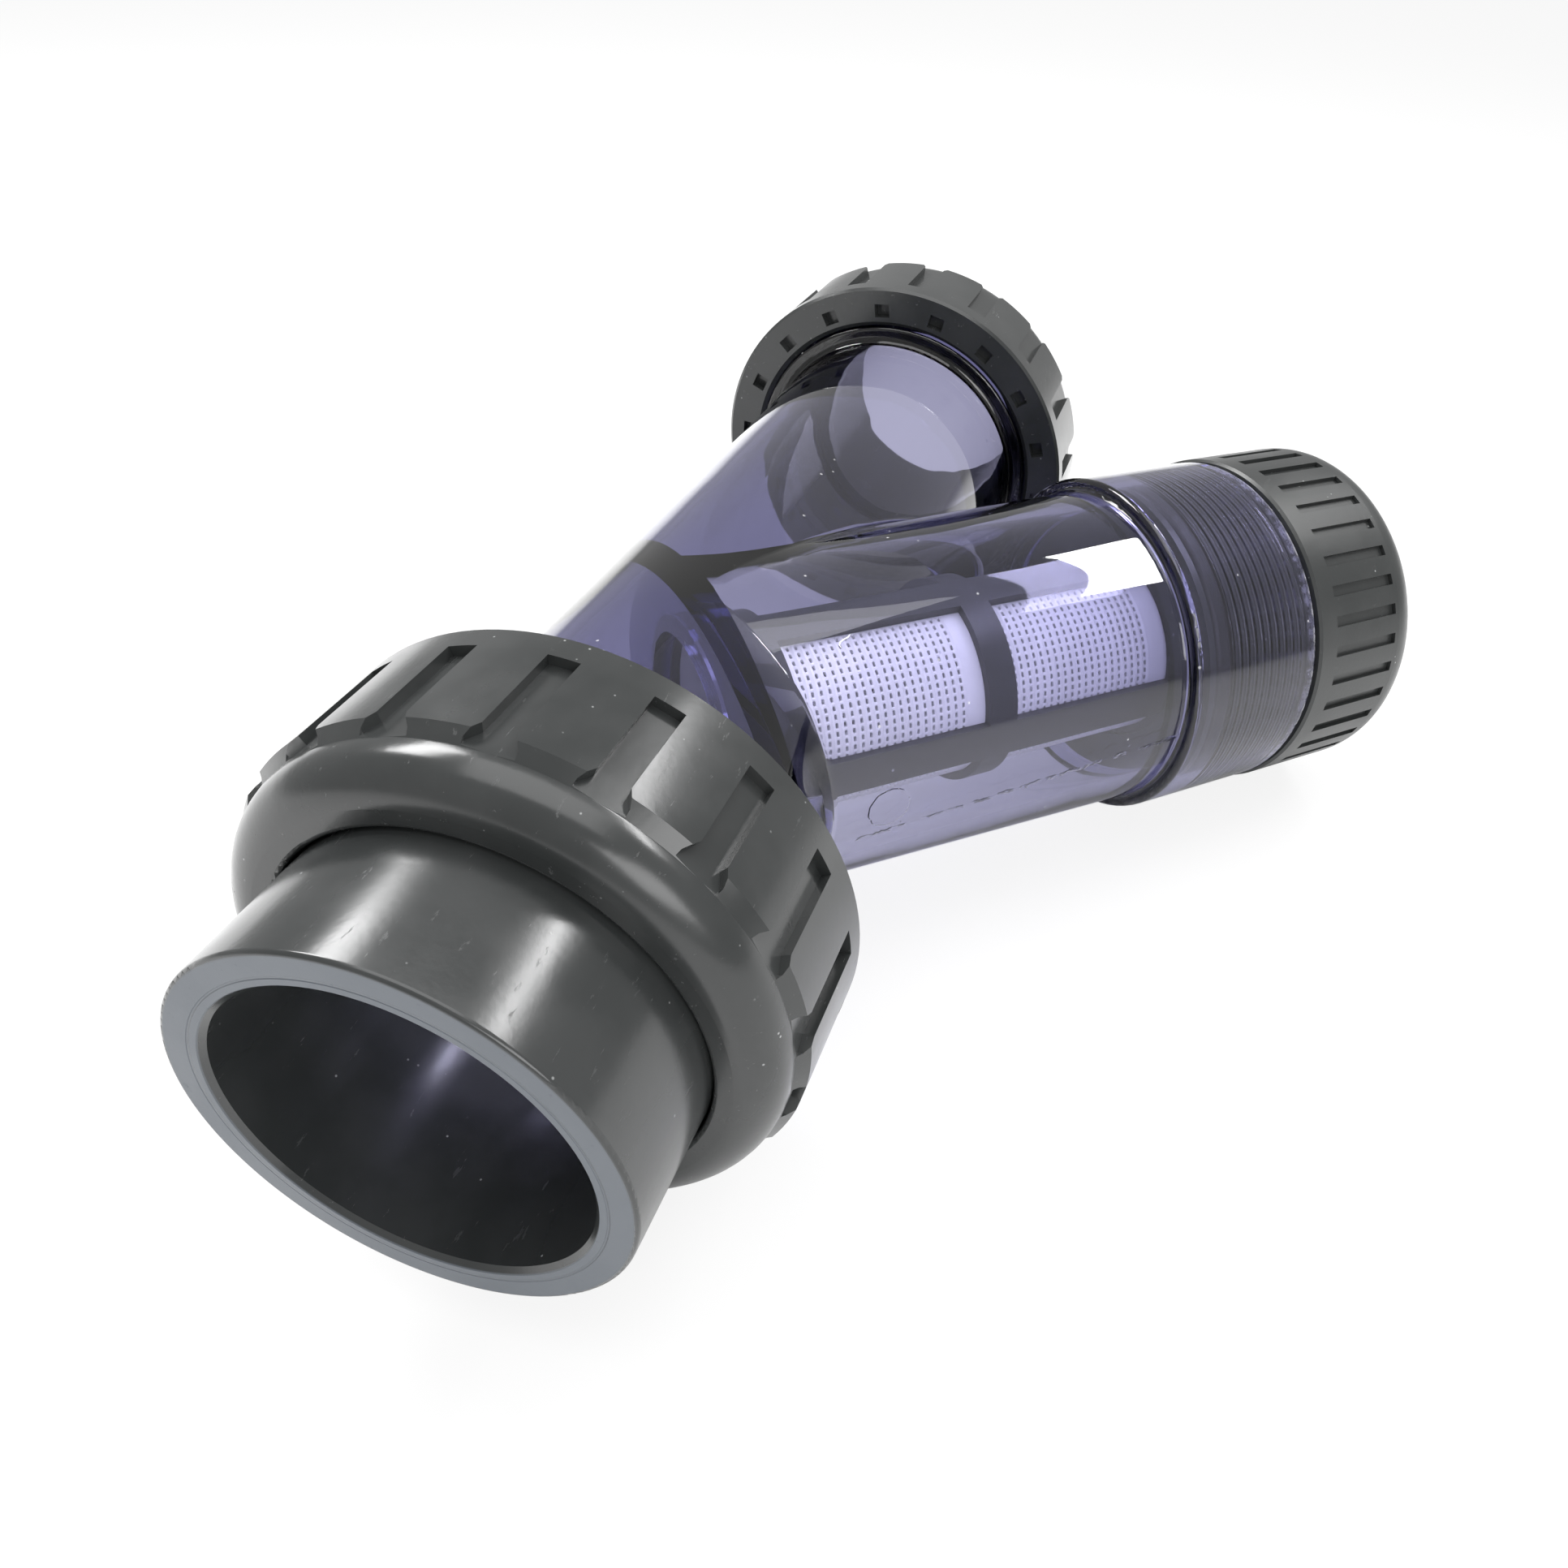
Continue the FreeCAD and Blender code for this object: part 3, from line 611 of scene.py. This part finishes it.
def makeStage(spec):
    material, paint = newPaint("pale floor")
    lit = paint.node("ShaderNodeBsdfDiffuse", {}, {"Color": rgba(spec["colour"])})
    plain = paint.node("ShaderNodeEmission", {}, {"Color": (1, 1, 1, 1), "Strength": 1.0})
    shader = paint.either(seenRay(paint) * spec["seen"], lit, plain)
    paint.node("ShaderNodeOutputMaterial", {}, {"Surface": shader})
    reach = spec["reach"]
    data = bpy.data.meshes.new("floor")
    corners = [(-reach, -reach, 0), (reach, -reach, 0), (reach, reach, 0), (-reach, reach, 0)]
    data.from_pydata(corners, [], [(0, 1, 2, 3)])
    data.materials.append(material)
    floor = bpy.data.objects.new("floor", data)
    floor.location.z = spec["floor"]
    bpy.context.scene.collection.objects.link(floor)

    world = bpy.data.worlds.new("studio")
    bpy.context.scene.world = world
    world.use_nodes = True
    sky = Paint(world.node_tree)
    strength = seenRay(sky) * (1.0 - spec["worldLight"]) + spec["worldLight"]
    light = sky.node("ShaderNodeBackground", {}, {"Color": (1, 1, 1, 1), "Strength": strength})
    sky.node("ShaderNodeOutputWorld", {}, {"Surface": light})


makeStage(stageSpec)

# Soft boxes: place, what they face, width and height in metres, and power in watts.
lampSpec = {
    "window": ((0.38, 0.72, 0.80), (0.05, 0.0, 0.0), 0.50, 0.30, 9.0),
    "strip": ((0.62, -0.52, 0.78), (0.05, 0.0, 0.0), 0.55, 0.10, 5.0),
    "over": ((0.10, 0.0, 1.3), (0.12, 0.0, 0.0), 1.2, 1.2, 12.0),
    "side": ((-0.7, -0.7, 0.55), (0.05, 0.0, 0.0), 0.7, 0.5, 6.0),
}


def makeLamps(spec):
    for name, (place, aim, wide, high, power) in spec.items():
        data = bpy.data.lights.new(name, "AREA")
        data.shape = "RECTANGLE"
        data.size, data.size_y = wide, high
        data.energy = power
        lamp = bpy.data.objects.new(name, data)
        lamp.location = place
        lamp.rotation_euler = (Vector(aim) - Vector(place)).to_track_quat("-Z", "Y").to_euler()
        bpy.context.scene.collection.objects.link(lamp)


makeLamps(lampSpec)
bpy.context.scene.view_settings.view_transform = "Standard"
print("stage and lamps made")
